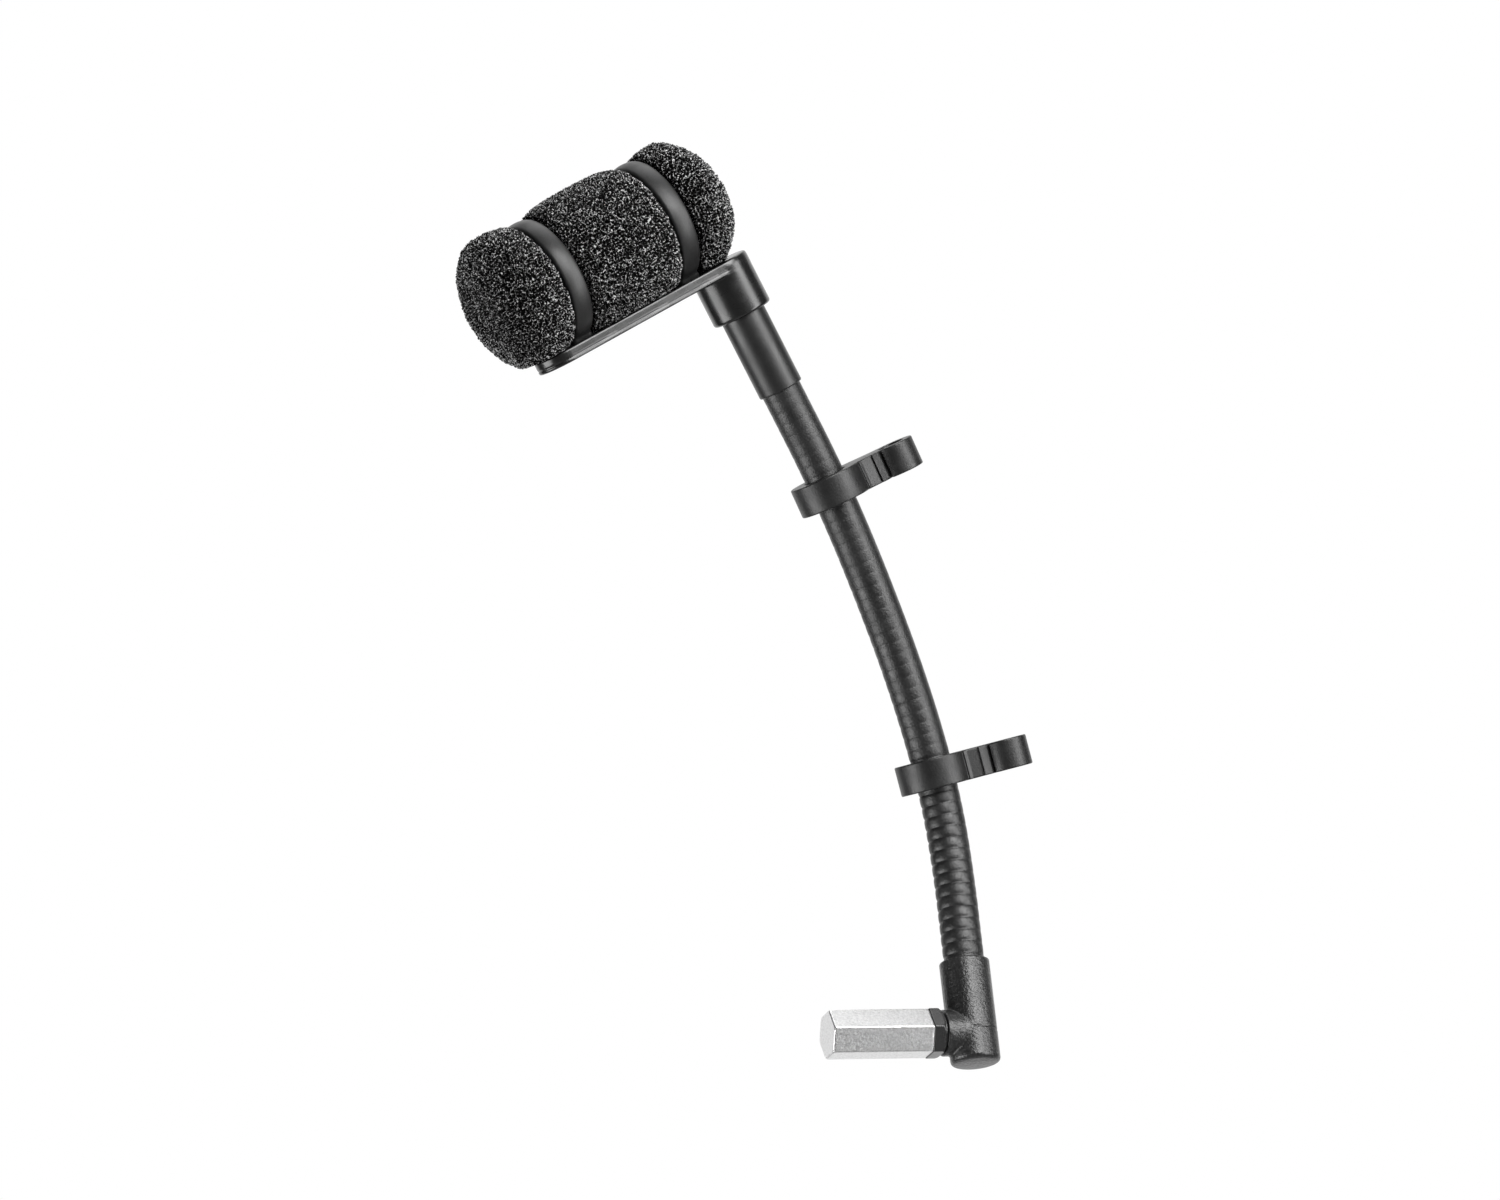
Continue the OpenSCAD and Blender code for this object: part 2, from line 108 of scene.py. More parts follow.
# The foam: a lobe in front of the front hoop, one between the hoops and one behind the rear hoop.
FOAM_AXIS_Z = SOCKET_H + HOOP_R
HOOP_GAP = 0.1
GROOVE_R = HOOP_R - HOOP_T - HOOP_GAP
FRONT_LOBE_L, REAR_LOBE_L = 12.6, 10.6
FOAM_FRONT_X, FOAM_REAR_X = FRONT_HOOP_X + FRONT_LOBE_L, REAR_HOOP_X - REAR_LOBE_L
FRONT_LOBE_R, MIDDLE_LOBE_R, REAR_LOBE_R = 11.6, 11.7, 11.4
FRONT_END_R, REAR_END_R = 4.7, 7.8
LOBE_RISE = 0.15
FRONT_ROUND, REAR_ROUND = (2.0, 0.7), (1.3, 0.9)
MIC_BORE_R, MIC_L = 6.05, 38.0

# The cable clips.
CLIP_H = 4.8
CLIP_RING_R = 5.9
CLIP_BORE_R = 3.32
HOOK_X = 12.0
HOOK_Y = 1.4
HOOK_R = 3.6
HOOK_BORE_R = 2.2

# How parts and cuts meet.
FIT = 0.05  # gap between a part and the bore that it goes into
SHARP = 0.05  # fillet where an edge or a corner is to look sharp
PAST = 4.0  # how far a cut or a joined solid runs past the face that ends it

# ---------- places, from the frame ----------


def place(origin, z_axis, x_axis):
    """Matrix from a part's own axes to the row frame, in millimetres. x_axis is made square to z_axis."""
    z = Vector(z_axis).normalized()
    x = (Vector(x_axis) - z * z.dot(Vector(x_axis))).normalized()
    y = z.cross(x)
    m = Matrix((x, y, z)).transposed().to_4x4()
    m.translation = Vector(origin)
    return m


def joint_point(name):
    return Vector(joints[name]["pos_m"]) / MM


def low_high(node):
    low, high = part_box(node)
    return low / MM, high / MM


bend_points = [joint_point(f"neck_bend_{i + 1}") for i in range(BENDS)]
elbow_low, elbow_high = low_high("elbow_body")
mouth = Vector((bend_points[0].x, bend_points[0].y, elbow_high.z))
carrier_origin = joint_point("carrier_turn")
carrier_up = Vector(joints["carrier_turn"]["axis"]).normalized()
carrier_front = -Vector(mounts["cable_gland"]["axis"])
carrier_place = place(carrier_origin, carrier_up, carrier_front)
sleeve_foot = carrier_origin - carrier_up * SLEEVE_L
neck_line = [mouth, *bend_points, sleeve_foot]
collar_x = low_high("hex_collar")[0].x


def clip_place(name):
    """A clip's own axes: +Z up the neck, +X towards the cable hook."""
    joint = joints[f"{name}_turn"]
    hook = mounts[f"{name.split('_')[0]}_cable_hook"]
    origin = Vector(joint["pos_m"]) / MM
    towards = Vector(hook["pos_m"]) / MM - origin
    turn = Matrix.Rotation(-math.atan2(HOOK_Y, HOOK_X), 4, Vector(joint["axis"]))
    return place(origin, joint["axis"], turn.to_3x3() @ towards)


# ---------- meshes ----------


def make_piece(name, points, faces, material, at=None, sharp_deg=180):
    """A mesh object from points in millimetres, placed by the matrix at."""
    points = np.asarray(points, float)
    if at is not None:
        m = np.array(at, float)
        points = points @ m[:3, :3].T + m[:3, 3]
    mesh = bpy.data.meshes.new(name)
    mesh.from_pydata((points * MM).tolist(), [], faces if isinstance(faces, list) else faces.tolist())
    mesh.validate()
    mesh.shade_smooth()
    if sharp_deg < 180:
        mesh.set_sharp_from_angle(angle=math.radians(sharp_deg))
    mesh.materials.append(material)
    piece = bpy.data.objects.new(name, mesh)
    bpy.context.scene.collection.objects.link(piece)
    return piece


def surface_nets(field_of, low, high, step):
    """Closed quad mesh where field_of(x, y, z) crosses zero inside the box from low to high.

    Each grid cell that the surface crosses gets one point, the mean of the crossings on its edges.
    """
    axes = [np.arange(low[i] - 2 * step, high[i] + 3 * step, step) for i in range(3)]
    field = field_of(*np.meshgrid(*axes, indexing="ij", sparse=True))
    inside = field < 0
    size = np.array(field.shape) - 1
    corner = [(a, b, c) for a in (0, 1) for b in (0, 1) for c in (0, 1)]
    count = np.zeros(size, np.int8)
    for a, b, c in corner:
        count += inside[a:size[0] + a, b:size[1] + b, c:size[2] + c]
    cells = np.argwhere((count > 0) & (count < 8))
    number = np.full(size, -1)
    number[tuple(cells.T)] = np.arange(len(cells))
    total, crossings = np.zeros((len(cells), 3)), np.zeros((len(cells), 1))
    for start in corner:
        for axis in range(3):
            if start[axis]:
                continue
            end = list(start)
            end[axis] = 1
            a = field[tuple((cells + start).T)]
            b = field[tuple((cells + end).T)]
            cut = ((a < 0) != (b < 0))[:, None]
            t = np.where(cut[:, 0], a / np.where(a == b, 1, a - b), 0)[:, None]
            total += cut * (np.array(start) + t * (np.array(end) - np.array(start)))
            crossings += cut
    points = np.array([axis[0] for axis in axes]) + (cells + total / crossings) * step
    faces = []
    for axis in range(3):
        u, v = (axis + 1) % 3, (axis + 2) % 3
        near = [slice(None)] * 3
        far = [slice(None)] * 3
        near[axis], far[axis] = slice(0, -1), slice(1, None)
        edges = np.argwhere(inside[tuple(near)] != inside[tuple(far)])
        back_u, back_v = np.eye(3, dtype=int)[u], np.eye(3, dtype=int)[v]
        quad = [number[tuple((edges - shift).T)] for shift in (back_u + back_v, back_v, 0 * back_u, back_u)]
        quad = np.stack(quad, 1)
        leaves = inside[tuple(edges.T)]
        quad[~leaves] = quad[~leaves][:, ::-1]
        faces.append(quad)
    return points, np.concatenate(faces)


def grid_faces(rows, columns):
    """Quads of a grid whose columns close round."""
    a = (np.arange(rows - 1)[:, None] * columns + np.arange(columns)[None, :]).ravel()
    b = (np.arange(rows - 1)[:, None] * columns + (np.arange(columns)[None, :] + 1) % columns).ravel()
    return np.stack([a, b, b + columns, a + columns], 1)


def closed_by_poles(rings, first_pole, last_pole):
    """Points and faces of a row of rings, closed at each end by a fan to its pole."""
    rows, columns = rings.shape[:2]
    points = np.concatenate([rings.reshape(-1, 3), [first_pole, last_pole]])
    faces = grid_faces(rows, columns).tolist()
    first, last, tail = rows * columns, rows * columns + 1, (rows - 1) * columns
    for i in range(columns):
        j = (i + 1) % columns
        faces.append([first, j, i])
        faces.append([last, tail + i, tail + j])
    return points, faces


def lathe(outline, segments=96):
    """Closed mesh of revolution about Z. outline is (radius, z) points that start and end on the axis."""
    outline = np.asarray(outline, float)
    turn = np.linspace(0, 2 * math.pi, segments, endpoint=False)
    rings = outline[1:-1]
    points = np.stack([rings[:, :1] * np.cos(turn), rings[:, :1] * np.sin(turn), rings[:, 1:] + 0 * turn], 2)
    return closed_by_poles(points, (0, 0, outline[0, 1]), (0, 0, outline[-1, 1]))


def rounded(corners, steps=5):
    """Polyline through (a, b, radius) corners, each rounded by its own radius."""
    line = [corners[0][:2]]
    for before, here, after in zip(corners, corners[1:], corners[2:]):
        p, a, b = (np.array(c[:2], float) for c in (here, before, after))
        if here[2] <= 0:
            line.append(p)
            continue
        to_a, to_b = (a - p) / np.linalg.norm(a - p), (b - p) / np.linalg.norm(b - p)
        half = math.acos(max(-1, min(1, to_a @ to_b))) / 2
        reach = here[2] / math.tan(half)
        for t in np.linspace(0, 1, steps + 1):
            near, far = p + to_a * reach, p + to_b * reach
            line.append((1 - t) ** 2 * near + 2 * t * (1 - t) * p + t ** 2 * far)
    line.append(corners[-1][:2])
    return line


# ---------- distance fields ----------


def merge(a, b, k):
    """Union of two fields with a fillet of about k."""
    h = np.maximum(k - np.abs(a - b), 0) / k
    return np.minimum(a, b) - h * h * k / 4


def carve(a, b, k=SHARP):
    """Field a with field b taken out of it."""
    return -merge(-a, b, k)


def keep(a, b, k):
    """What is inside both fields, with the new edge rounded by about k."""
    return -merge(-a, -b, k)


def slab(across, along, low, high, edge_r):
    """Field of a prism: across is the distance to its outline, along runs from low to high."""
    q1 = across + edge_r
    q2 = np.abs(along - (low + high) / 2) - (high - low) / 2 + edge_r
    outside = np.hypot(np.maximum(q1, 0), np.maximum(q2, 0))
    return outside + np.minimum(np.maximum(q1, q2), 0) - edge_r


def rod(u, v, along, r, low, high, edge_r=0.0):
    """Field of a round rod of radius r, u and v being measured from its axis."""
    return slab(np.hypot(u, v) - r, along, low, high, edge_r)


def polygon_field(corners, x, y):
    """Signed distance to a polygon in the plane, negative inside."""
    corners = np.array(corners, float)
    nearest = np.full(np.broadcast(x, y).shape, 1e9)
    inside = np.zeros(nearest.shape, bool)
    for (ax, ay), (bx, by) in zip(corners, np.roll(corners, -1, 0)):
        ex, ey = bx - ax, by - ay
        t = np.clip(((x - ax) * ex + (y - ay) * ey) / (ex * ex + ey * ey), 0, 1)
        nearest = np.minimum(nearest, np.hypot(x - ax - t * ex, y - ay - t * ey))
        crosses = (ay > y) != (by > y)
        inside ^= crosses & (x < ax + (y - ay) * ex / (ey if ey else 1))
    return np.where(inside, -nearest, nearest)


def hexagon_field(y, z, flat_r, corner_r):
    """Distance to a hexagon with its flats facing up and down and its corners rounded."""
    core = (flat_r - corner_r) / math.cos(math.pi / 6)
    corners = [(core * math.cos(a), core * math.sin(a)) for a in np.arange(6) * math.pi / 3]
    return polygon_field(corners, y, z) - corner_r


# ---------- materials ----------


def new_material(name, roughness=0.5, metallic=0.0):
    """A node material and its main shader."""
    material = bpy.data.materials.new(name)
    material.use_nodes = True
    shader = material.node_tree.nodes["Principled BSDF"]
    shader.inputs["Metallic"].default_value = metallic
    shader.inputs["Roughness"].default_value = roughness
    return material, shader


def add_node(material, kind, links=(), **values):
    """A node with its inputs set by name, and links as (input, output socket)."""
    node = material.node_tree.nodes.new(kind)
    for key, value in values.items():
        if key in node.inputs:
            node.inputs[key].default_value = value
        else:
            setattr(node, key, value)
    for socket, source in links:
        material.node_tree.links.new(source, node.inputs[socket])
    return node


def noise_of(material, size_mm, detail=3.0, roughness=0.55):
    """Noise with features of size_mm, fixed to the piece."""
    place_node = add_node(material, "ShaderNodeTexCoord")
    noise = add_node(material, "ShaderNodeTexNoise", [("Vector", place_node.outputs["Object"])],
                     Scale=1 / (size_mm * MM), Detail=detail, Roughness=roughness)
    return noise.outputs["Fac"]


def ramp_of(material, factor, stops):
    """Colour ramp from (position, grey or colour) stops."""
    ramp = add_node(material, "ShaderNodeValToRGB", [("Fac", factor)])
    elements = ramp.color_ramp.elements
    while len(elements) < len(stops):
        elements.new(0.5)
    for element, (position, colour) in zip(elements, stops):
        element.position = position
        element.color = (*((colour,) * 3 if isinstance(colour, float) else colour), 1)
    return ramp.outputs["Color"]


def span_of(material, factor, low, high, from_low=0.3, from_high=0.7):
    """factor between from_low and from_high, stretched to low to high."""
    span = add_node(material, "ShaderNodeMapRange", [("Value", factor)])
    span.inputs["From Min"].default_value = from_low
    span.inputs["From Max"].default_value = from_high
    span.inputs["To Min"].default_value = low
    span.inputs["To Max"].default_value = high
    return span.outputs["Result"]


def finish_material(material, shader, colour, roughness=None, height=None, height_mm=None):
    """Joins colour, roughness and a bump of height_mm to the shader."""
    links = material.node_tree.links
    links.new(colour, shader.inputs["Base Color"])
    if roughness is not None:
        links.new(roughness, shader.inputs["Roughness"])
    if height is not None:
        bump = add_node(material, "ShaderNodeBump", [("Height", height)], Distance=height_mm * MM)
        links.new(bump.outputs["Normal"], shader.inputs["Normal"])
    return material


def moulded_plastic(name, grey, rough, bump_mm, grain_mm=0.3, specular=0.5):
    """Plastic or rubber with a fine grain and slow changes of sheen. grey and rough are (least, most)."""
    material, shader = new_material(name)
    shader.inputs["Specular IOR Level"].default_value = specular
    grain = noise_of(material, grain_mm)
    patches = noise_of(material, 4.0, detail=2.0)
    colour = ramp_of(material, grain, [(0.3, grey[0]), (0.75, grey[1])])
    sheen = span_of(material, patches, *rough)
    return finish_material(material, shader, colour, sheen, grain, bump_mm)


def metal(name, dark, light, rough, grain_mm=0.4, bump_mm=0.004, metallic=1.0):
    """Metal whose colour and roughness vary with its grain. rough is (least, most)."""
    material, shader = new_material(name, metallic=metallic)
    grain = noise_of(material, grain_mm, detail=5.0, roughness=0.7)
    colour = ramp_of(material, grain, [(0.25, dark), (0.8, light)])
    sheen = span_of(material, grain, *rough)
    return finish_material(material, shader, colour, sheen, grain, bump_mm)


def foam_material():
    """Black open-cell foam: near-black, with painted glints on the strands and painted shade in the pores, as the
    mesh's strand value says.
    """
    glint_mm = 0.24
    material, shader = new_material("foam")
    shader.inputs["Specular IOR Level"].default_value = 0.06
    strand = add_node(material, "ShaderNodeAttribute", attribute_name="strand").outputs["Fac"]
    glint = span_of(material, noise_of(material, glint_mm, detail=2.0), 0.2, 1.1, 0.44, 0.6)
    lit_strand = add_node(material, "ShaderNodeMath", [(0, strand), (1, glint)], operation="MULTIPLY")
    # Painted glints: strands brightened up to 0.5 by the glint noise. Painted shade: pores darkened to almost
    # nothing.
    colour = ramp_of(material, lit_strand.outputs[0], [(0.2, 0.0001), (0.5, 0.005), (0.95, 0.5)])
    sheen = span_of(material, strand, 1.0, 0.45, 0.3, 0.9)
    return finish_material(material, shader, colour, sheen)


# ---------- pieces ----------


def give(piece, body, slot, *nodes):
    """Says which body a piece rides and which CAD nodes it stands for; slot is not used."""
    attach(piece, body)
    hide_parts(*nodes)
    return piece


def spigot_bar(material):
    """Bare hexagonal bar with a turned chamfer at its free end, and its round shank in the elbow."""
    corner_r, edge_r, chamfer_r, chamfer_edge_r = 0.2, 0.1, 3.75, 0.08
    half_w, half_h, end_gap = 4.1, 3.6, 0.2
    bore_end = collar_x + COLLAR_L + SHANK_L

    def field(x, y, z):
        bar = slab(hexagon_field(y, z, HEX_FLAT_R, corner_r), x, 0, collar_x, edge_r)
        bar = keep(bar, (np.hypot(y, z) - chamfer_r - x) * math.sqrt(0.5), chamfer_edge_r)
        shank = rod(y, z, x, SHANK_R - FIT, collar_x - PAST, bore_end - end_gap)
        return merge(bar, shank, SHARP)
    points, faces = surface_nets(field, (0, -half_w, -half_h), (bore_end, half_w, half_h), step=0.12)
    piece = make_piece("spigot_bar", points, faces, material)
    return give(piece, "base", "spigot_aluminium", "hex_spigot")


def spigot_collar(material):
    """Black hexagonal collar, a little larger than the bar, with a turned chamfer at the elbow's side."""
    corner_r, edge_r, chamfer_r, chamfer_slope = 0.25, 0.12, 3.75, 0.8
    half_w, half_h = 4.3, 3.8
    end = collar_x + COLLAR_L

    def field(x, y, z):
        hexagon = slab(hexagon_field(y, z, COLLAR_FLAT_R, corner_r), x, collar_x, end, edge_r)
        chamfer = np.hypot(y, z) + (x - end) * chamfer_slope - chamfer_r
        body = np.maximum(hexagon, chamfer / math.hypot(1, chamfer_slope))
        return carve(body, rod(y, z, x, SHANK_R, collar_x - PAST, end + PAST))
    points, faces = surface_nets(field, (collar_x, -half_w, -half_h), (end, half_w, half_h), step=0.1)
    piece = make_piece("spigot_collar", points, faces, material)
    return give(piece, "base", "collar_black", "hex_collar")


def elbow_shell(material):
    """Barrel and side branch moulded in one, with a parting line round the barrel."""
    foot_edge_r, dome_r, rim_r, branch_edge_r, fillet_r = 1.0, 26.8, 0.3, 0.25, 0.25
    parting_r, parting_out = 0.12, 0.02
    half_w = 4.1
    shoulder = collar_x + COLLAR_L
    bore_floor = elbow_high.z - NECK_IN_ELBOW - 1.1

    def field(x, y, z):
        u = x - mouth.x
        barrel = rod(u, y, z, BARREL_R, elbow_low.z, elbow_high.z + PAST, foot_edge_r)
        dome = np.sqrt(u * u + y * y + (z - elbow_low.z - dome_r) ** 2) - dome_r
        barrel = keep(keep(barrel, dome, rim_r), z - elbow_high.z, rim_r)
        root = rod(y, z, x, BRANCH_GROOVE_R, shoulder, mouth.x)
        branch = rod(y, z, x, BRANCH_R, shoulder + BRANCH_GROOVE_W, mouth.x, branch_edge_r)
        branch = merge(branch, root, 0.1)
        solid = merge(barrel, branch, fillet_r)
        line = np.hypot(np.hypot(u, y) - BARREL_R - parting_out, z) - parting_r
        solid = carve(solid, np.maximum(line, parting_r - branch))
        solid = carve(solid, rod(u, y, z, NECK_R + NECK_GAP, bore_floor, elbow_high.z + PAST))
        return carve(solid, rod(y, z, x, SHANK_R, shoulder - PAST, shoulder + SHANK_L))
    low = (shoulder, -half_w, elbow_low.z)
    high = (mouth.x + BARREL_R, half_w, elbow_high.z)
    piece = make_piece("elbow_shell", *surface_nets(field, low, high, step=0.12), material)
    return give(piece, "base", "elbow_black", "elbow_body")


def cable_clip(name, material):
    """Ring round the neck, a lipped web and a snap hook for the cable, all cut from one outline.

    The ring's bore widens towards both faces, so that the neck can curve inside it.
    """
    bevel, land, lip = (5.6, -2.55), [(6.1, -2.2), (7.9, -1.6)], [(8.0, -2.0), (9.3, -1.2)]
    back_y, outside_y = HOOK_Y + HOOK_R, -3.0
    web = [(0, 0), bevel, *land, *lip, (HOOK_X, HOOK_Y), (HOOK_X, back_y - 0.1), (lip[0][0], back_y - 0.5),
           (2.6, CLIP_RING_R - 0.65), (0, 4)]
    slit_w, slit_drop = 0.4, 0.15
    lip_x, lip_y = lip[-1]
    deep_x, deep_y = lip_x + 1.5, lip_y + 1.55
    slit = [(lip_x, outside_y), (lip_x, lip_y), (deep_x, deep_y), (deep_x + slit_w, deep_y - slit_drop),
            (lip_x + slit_w, lip_y - slit_drop), (lip_x + slit_w, outside_y)]
    corner_r, slit_edge_r, face_edge_r, bore_flare = 0.1, 0.06, 0.2, 0.1

    def field(x, y, z):
        outline = merge(np.hypot(x, y) - CLIP_RING_R, polygon_field(web, x, y), corner_r)
        outline = merge(outline, np.hypot(x - HOOK_X, y - HOOK_Y) - HOOK_R, corner_r)
        outline = carve(outline, polygon_field(slit, x, y), slit_edge_r)
        outline = carve(outline, np.hypot(x - HOOK_X, y - HOOK_Y) - HOOK_BORE_R, corner_r)
        body = slab(outline, z, -CLIP_H / 2, CLIP_H / 2, face_edge_r)
        return carve(body, np.hypot(x, y) - CLIP_BORE_R - bore_flare * np.abs(z), corner_r)
    low = (-CLIP_RING_R, -CLIP_RING_R, -CLIP_H / 2)
    high = (HOOK_X + HOOK_R, CLIP_RING_R, CLIP_H / 2)
    points, faces = surface_nets(field, low, high, step=0.095)
    piece = make_piece(f"{name}_moulding", points, faces, material, clip_place(name))
    return give(piece, name, "clip_black", name)


def sleeve_tube(material):
    """Smooth sleeve over the neck's upper end, with the swivel's screw hole in its top."""
    top = SLEEVE_L + SOCKET_DEPTH - FIT
    bore_r, bore_top = NECK_R + NECK_GAP, 7.2
    hole_floor = top - 5.0
    corners = [
        (0, bore_top, 0), (bore_r, bore_top, 0), (bore_r, 0, 0.1), (SLEEVE_R, 0, 0.3),
        (SLEEVE_R, top, 0.2), (SCREW_HOLE_R, top, 0), (SCREW_HOLE_R, hole_floor, 0), (0, hole_floor, 0),
    ]
    points, faces = lathe(rounded(corners))
    at = place(sleeve_foot, carrier_up, carrier_front)
    piece = make_piece("sleeve_tube", points, faces, material, at, sharp_deg=40)
    return give(piece, "link_8", "sleeve_black", "neck_sleeve")


def carrier_arm(material):
    """Socket and plate in one: the plate leaves the socket tangentially and ends in a round tip."""
    plate_edge_r, foot_edge_r, top_edge_r, fillet_r = 0.3, 0.5, 1.0, 0.2
    groove_r, groove_out, groove_up = 0.14, 0.02, 0.65
    plate_low = SOCKET_H - PLATE_T
    reach = PLATE_REACH - PLATE_TIP_R
    root_r = SOCKET_R - 0.06
    slope = (root_r - PLATE_TIP_R) / reach
    rise = math.sqrt(1 - slope * slope)

    def plate_outline(x, y):
        y = np.abs(y)
        side = rise * x - slope * y
        flank = rise * y + slope * x - root_r
        root, tip = np.hypot(x, y) - root_r, np.hypot(x - reach, y) - PLATE_TIP_R
        return np.where(side < 0, root, np.where(side > reach * rise, tip, flank))

    def field(x, y, z):
        outline = plate_outline(x, y)
        plate = slab(outline, z, plate_low, SOCKET_H, plate_edge_r)
        plate = carve(plate, np.hypot(outline - groove_out, z - plate_low - groove_up) - groove_r)
        socket = rod(x, y, z, SOCKET_R, 0, SOCKET_H + PAST, foot_edge_r)
        solid = merge(plate, keep(socket, z - SOCKET_H, top_edge_r), fillet_r)
        solid = carve(solid, rod(x, y, z, SLEEVE_R + FIT, -PAST, SOCKET_DEPTH))
        solid = carve(solid, rod(x, y, z, SCREW_HOLE_R, SOCKET_DEPTH - PAST, SOCKET_H + PAST))
        return carve(solid, rod(x, y, z, SCREW_HEAD_R, SOCKET_H - SCREW_HEAD_H, SOCKET_H + PAST))
    low = (-SOCKET_R, -SOCKET_R, 0)
    high = (PLATE_REACH, SOCKET_R, SOCKET_H)
    points, faces = surface_nets(field, low, high, step=0.14)
    piece = make_piece("carrier_arm", points, faces, material, carrier_place)
    return give(piece, "carrier", "carrier_black", "carrier_plate")


def foam_hoop(name, node, hoop_x, material):
    """Gently crowned hoop that flares into a foot on the plate."""
    inner_r, half_w, crown, edge_r, inner_edge_r = HOOP_R - HOOP_T, HOOP_W / 2, 0.3, 0.4, 0.25
    foot_half_w, foot_half_l, foot_h, foot_corner_r, foot_edge_r, flare_r = 1.8, 3.3, 0.35, 0.5, 0.15, 1.2
    box_half_w = 2.4

    def field(x, y, z):
        radius = np.hypot(y, z - FOAM_AXIS_Z)
        ring = slab(np.abs(x) - half_w, radius + crown * (x / half_w) ** 2, inner_r - 2, HOOP_R, edge_r)
        foot_plan = slab(np.abs(x) - foot_half_w, np.abs(y), -foot_half_l, foot_half_l, foot_corner_r)
        foot = slab(foot_plan, z, SOCKET_H - 0.1, SOCKET_H + foot_h, foot_edge_r)
        return carve(merge(ring, foot, flare_r), radius - inner_r, inner_edge_r)
    low = (-box_half_w, -HOOP_R, SOCKET_H - 0.2)
    high = (box_half_w, HOOP_R, FOAM_AXIS_Z + HOOP_R)
    points, faces = surface_nets(field, low, high, step=0.13)
    piece = make_piece(name, points, faces, material, carrier_place @ Matrix.Translation((hoop_x, 0, 0)))
    return give(piece, "carrier", "hoop_black", node)


# ---------- neck ----------


def rib_depth(s, inner):
    """Depth of the valleys between ribs, s along the neck.

    inner runs from 1 on the bend's inner side to -1 on its outer side. Below the lower clip the skin shows
    the coil's turns all round, and above it only on its slack inner side.
    """
    bold = np.clip((BOLD_RIBS_L - s) / RIB_FADE_L, 0, 1)
    slack_side = SLACK_RIB * np.clip(1.2 - s / 100, 0, 1) * np.maximum(inner, -0.6)
    return LEAST_RIB + BOLD_RIB * bold + slack_side * np.where(inner > 0, 1, bold)


def skin_radius(s, inner):
    """Outer radius of the neck's skin."""
    crest = np.abs(np.sin(math.pi * (s - seams[0]) / RIB_PITCH))
    return NECK_R - rib_depth(s, inner) * (1 - crest) ** RIB_SHARPNESS


def arc_frames(start, end, start_dir, end_dir, share):
    """Point and turning matrix at each share of an arc.

    The arc leaves start along start_dir and reaches end along end_dir.
    """
    axis = start_dir.cross(end_dir)
    angle = start_dir.angle(end_dir)
    if angle < 1e-5:
        return [(start.lerp(end, t), Matrix.Identity(3)) for t in share]
    axis.normalize()
    inward = axis.cross(start_dir)
    radius = (end - start).length / (2 * math.sin(angle / 2))
    centre = start + inward * radius
    turns = [Matrix.Rotation(angle * t, 3, axis) for t in share]
    return [(centre + turn @ (start - centre), turn) for turn in turns]


def skin_points(frames, start_dir, s_values, columns, radius_of):
    """Rings round the frames, one for each of s_values, from the side that the neck leans to."""
    across = start_dir.cross(LEAN).normalized()
    ahead = across.cross(start_dir)
    angles = np.linspace(0, 2 * math.pi, columns, endpoint=False)
    rings = []
    for (centre, turn), s in zip(frames, s_values):
        radius = (radius_of(s, np.cos(angles)) + 0 * angles)[:, None]
        u, v = np.array(turn @ ahead), np.array(turn @ across)
        rings.append(np.array(centre) + radius * (np.cos(angles)[:, None] * u + np.sin(angles)[:, None] * v))
    return np.array(rings)


def neck_skin(number, start, end, start_dir, end_dir, s_start, s_end, material):
    """One length of ribbed skin: an outer ribbed wall and a plain inner wall, joined at both ends."""
    columns, rings_per_rib, inner_rings, sharp_deg = 72, 12, 25, 60
    count = max(3, int(round((s_end - s_start) / RIB_PITCH * rings_per_rib)) + 1)
    outer_share, inner_share = np.linspace(0, 1, count), np.linspace(1, 0, inner_rings)
    length = s_end - s_start
    outer = skin_points(arc_frames(start, end, start_dir, end_dir, outer_share), start_dir,
                        s_start + outer_share * length, columns, skin_radius)
    inner = skin_points(arc_frames(start, end, start_dir, end_dir, inner_share), start_dir,
                        s_start + inner_share * length, columns, lambda s, inner: SKIN_BORE_R)
    points = np.concatenate([outer, inner]).reshape(-1, 3)
    rows = len(outer) + len(inner)
    faces = grid_faces(rows, columns)
    first, last = np.arange(columns), (rows - 1) * columns + np.arange(columns)
    closing = np.stack([last, np.roll(last, -1), np.roll(first, -1), first], 1)
    faces = np.concatenate([faces, closing])
    return make_piece(f"neck_skin_{number}", points, faces, material, sharp_deg=sharp_deg)


directions = [(b - a).normalized() for a, b in zip(neck_line, neck_line[1:])]
LEAN = (directions[-1] - directions[0]).normalized()
half_link = LINK_L / 2
first_l = (neck_line[1] - neck_line[0]).length
seams = [first_l - half_link + LINK_L * i for i in range(BENDS + 1)]


def neck_skins(material):
    """Skins that meet halfway along the links, so that each one bends round a single bending point."""
    start_dir = directions[0]
    first_end = bend_points[0] - start_dir * half_link
    foot = mouth - start_dir * NECK_IN_ELBOW
    first = neck_skin(1, foot, first_end, start_dir, start_dir, -NECK_IN_ELBOW, seams[0], material)
    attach(first, "base")
    skins = [first]
    for i, point in enumerate(bend_points):
        below, above = directions[i], directions[i + 1]
        start, end = point - below * half_link, point + above * half_link
        skin = neck_skin(i + 2, start, end, below, above, seams[i], seams[i + 1], material)
        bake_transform(skin)
        skins.append(skin)
    last_dir = directions[-1]
    start, end = bend_points[-1] + last_dir * half_link, sleeve_foot + last_dir * NECK_IN_SLEEVE
    s_end = seams[-1] + (end - start).length
    last = neck_skin(BENDS + 2, start, end, last_dir, last_dir, seams[-1], s_end, material)
    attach(last, f"link_{BENDS + 1}")
    skins.append(last)
    for i, skin in enumerate(skins):
        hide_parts(*[f"neck_sheath_{n}" for n in (i, i + 1) if 1 <= n <= BENDS + 1])
    return skins


# ---------- foam ----------


CELL_PRIMES, SEED_PRIME, MIX_PRIME = (73856093, 19349663, 83492791), 2654435761, 1274126177


